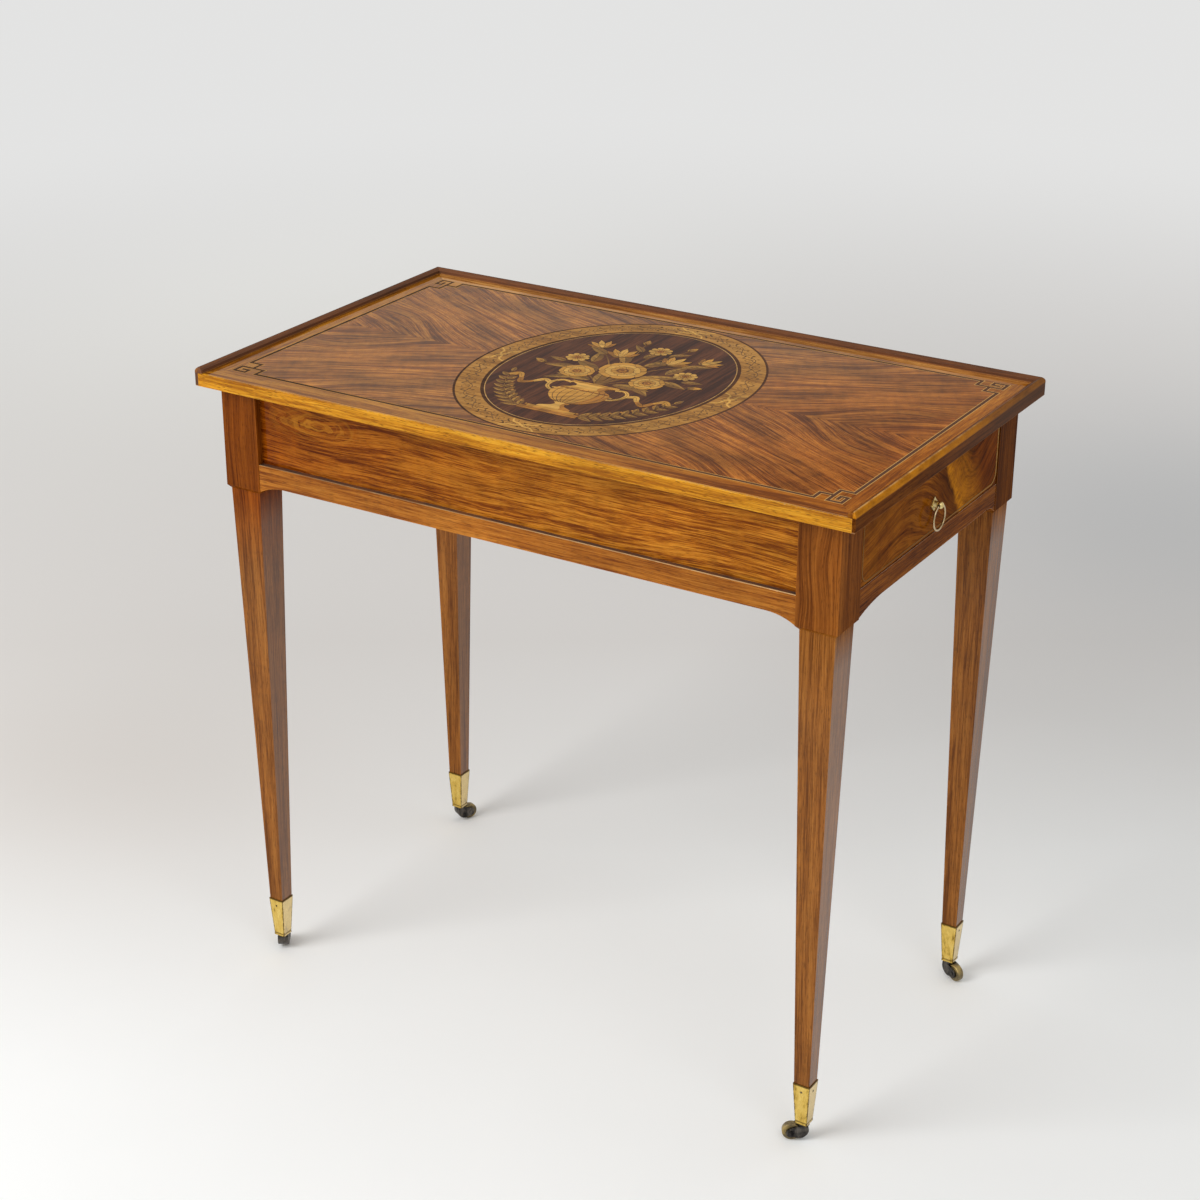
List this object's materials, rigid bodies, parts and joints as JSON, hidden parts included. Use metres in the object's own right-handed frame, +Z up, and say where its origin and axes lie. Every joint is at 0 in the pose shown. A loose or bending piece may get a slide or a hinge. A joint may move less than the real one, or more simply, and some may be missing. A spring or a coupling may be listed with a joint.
{
  "type": "writing table",
  "caption": "Rectangular writing table with an inlaid top rimmed on three edges, bracketed aprons, a long end drawer with a ring pull, and square tapered legs on brass sabots with casters.",
  "frame": {"origin": "on the floor under the middle of the top", "axes": "+X along the table towards the drawer end, +Y from the front to the back, +Z up"},
  "size_m": [0.7902, 0.4541, 0.7405],
  "materials": {
    "polished_rosewood": "french polished, straight grain",
    "figured_rosewood": "french polished, figured grain",
    "veneer_field": "french polished veneer, quarter matched",
    "veneer_banding": "french polished veneer, banded border",
    "amber_lipping": "french polished, bright amber",
    "rim_moulding": "french polished moulding",
    "dark_inlay": "stained dark stringing",
    "light_inlay": "pale boxwood line",
    "medallion_band": "amber veneer with engraved scrolls",
    "medallion_ground": "dark oval ground",
    "oak_lining": "plain secondary wood",
    "polished_brass": "polished brass with dark patina in the corners",
    "dark_bronze": "dark patinated bronze",
    "steel_screw": "plain steel"
  },
  "bodies": {
    "frame": {"top_core": "oak_lining", "front_lipping": "amber_lipping", "left_rim": "rim_moulding", "right_rim": "rim_moulding", "back_rim": "rim_moulding", "crossband_veneer": "veneer_banding", "stringing_core": "dark_inlay", "stringing_lines": "light_inlay", "field_veneer": "veneer_field", "medallion_lines": "dark_inlay", "medallion_band": "medallion_band", "medallion_fillet": "light_inlay", "medallion_ground": "medallion_ground", "front_panel": "figured_rosewood", "back_panel": "figured_rosewood", "left_panel": "figured_rosewood", "front_rail": "polished_rosewood", "back_rail": "polished_rosewood", "left_rail": "polished_rosewood", "drawer_rail": "polished_rosewood", "drawer_tie": "oak_lining", "front_runner": "oak_lining", "back_runner": "oak_lining", "drawer_guides": "oak_lining", "drawer_kickers": "oak_lining", "drawer_stops": "oak_lining", "glue_blocks": "oak_lining", "top_screws": "steel_screw", "sabot_pins": "dark_bronze", "leg_front_left": "polished_rosewood", "sabot_front_left": "polished_brass", "leg_front_right": "polished_rosewood", "sabot_front_right": "polished_brass", "leg_back_left": "polished_rosewood", "sabot_back_left": "polished_brass", "leg_back_right": "polished_rosewood", "sabot_back_right": "polished_brass"},
    "drawer": {"drawer_front": "figured_rosewood", "drawer_bead": "light_inlay", "drawer_front_side": "oak_lining", "drawer_back_side": "oak_lining", "drawer_back": "oak_lining", "drawer_bottom": "oak_lining", "pull_boss": "polished_brass", "pull_nut": "polished_brass"},
    "ring": {"pull_ring": "polished_brass"},
    "caster_front_left": {"caster_fork_front_left": "dark_bronze", "caster_axle_front_left": "dark_bronze"},
    "wheel_front_left": {"caster_wheel_front_left": "dark_bronze"},
    "caster_front_right": {"caster_fork_front_right": "dark_bronze", "caster_axle_front_right": "dark_bronze"},
    "wheel_front_right": {"caster_wheel_front_right": "dark_bronze"},
    "caster_back_left": {"caster_fork_back_left": "dark_bronze", "caster_axle_back_left": "dark_bronze"},
    "wheel_back_left": {"caster_wheel_back_left": "dark_bronze"},
    "caster_back_right": {"caster_fork_back_right": "dark_bronze", "caster_axle_back_right": "dark_bronze"},
    "wheel_back_right": {"caster_wheel_back_right": "dark_bronze"}
  },
  "joints": [
    {"name": "drawer_slide", "type": "slide", "parent": "frame", "child": "drawer", "axis": [1, 0, 0], "range_m": [0, 0.42]},
    {"name": "ring_swing", "type": "hinge", "parent": "drawer", "child": "ring", "pos_m": [0.3805, 0, 0.668], "axis": [0, -1, 0], "range_deg": [-8, 110]},
    {"name": "swivel_front_left", "type": "hinge", "parent": "frame", "child": "caster_front_left", "pos_m": [-0.351, -0.187, 0.02], "axis": [0, 0, 1], "continuous": true},
    {"name": "roll_front_left", "type": "hinge", "parent": "caster_front_left", "child": "wheel_front_left", "pos_m": [-0.35789, -0.17597, 0.01], "axis": [-0.848, -0.5299, 0], "continuous": true},
    {"name": "swivel_front_right", "type": "hinge", "parent": "frame", "child": "caster_front_right", "pos_m": [0.351, -0.187, 0.02], "axis": [0, 0, 1], "continuous": true},
    {"name": "roll_front_right", "type": "hinge", "parent": "caster_front_right", "child": "wheel_front_right", "pos_m": [0.33998, -0.19389, 0.01], "axis": [0.5299, -0.848, 0], "continuous": true},
    {"name": "swivel_back_left", "type": "hinge", "parent": "frame", "child": "caster_back_left", "pos_m": [-0.351, 0.187, 0.02], "axis": [0, 0, 1], "continuous": true},
    {"name": "roll_back_left", "type": "hinge", "parent": "caster_back_left", "child": "wheel_back_left", "pos_m": [-0.3449, 0.19848, 0.01], "axis": [-0.8829, 0.4695, 0], "continuous": true},
    {"name": "swivel_back_right", "type": "hinge", "parent": "frame", "child": "caster_back_right", "pos_m": [0.351, 0.187, 0.02], "axis": [0, 0, 1], "continuous": true},
    {"name": "roll_back_right", "type": "hinge", "parent": "caster_back_right", "child": "wheel_back_right", "pos_m": [0.36248, 0.1809, 0.01], "axis": [0.4695, 0.8829, 0], "continuous": true}
  ]
}
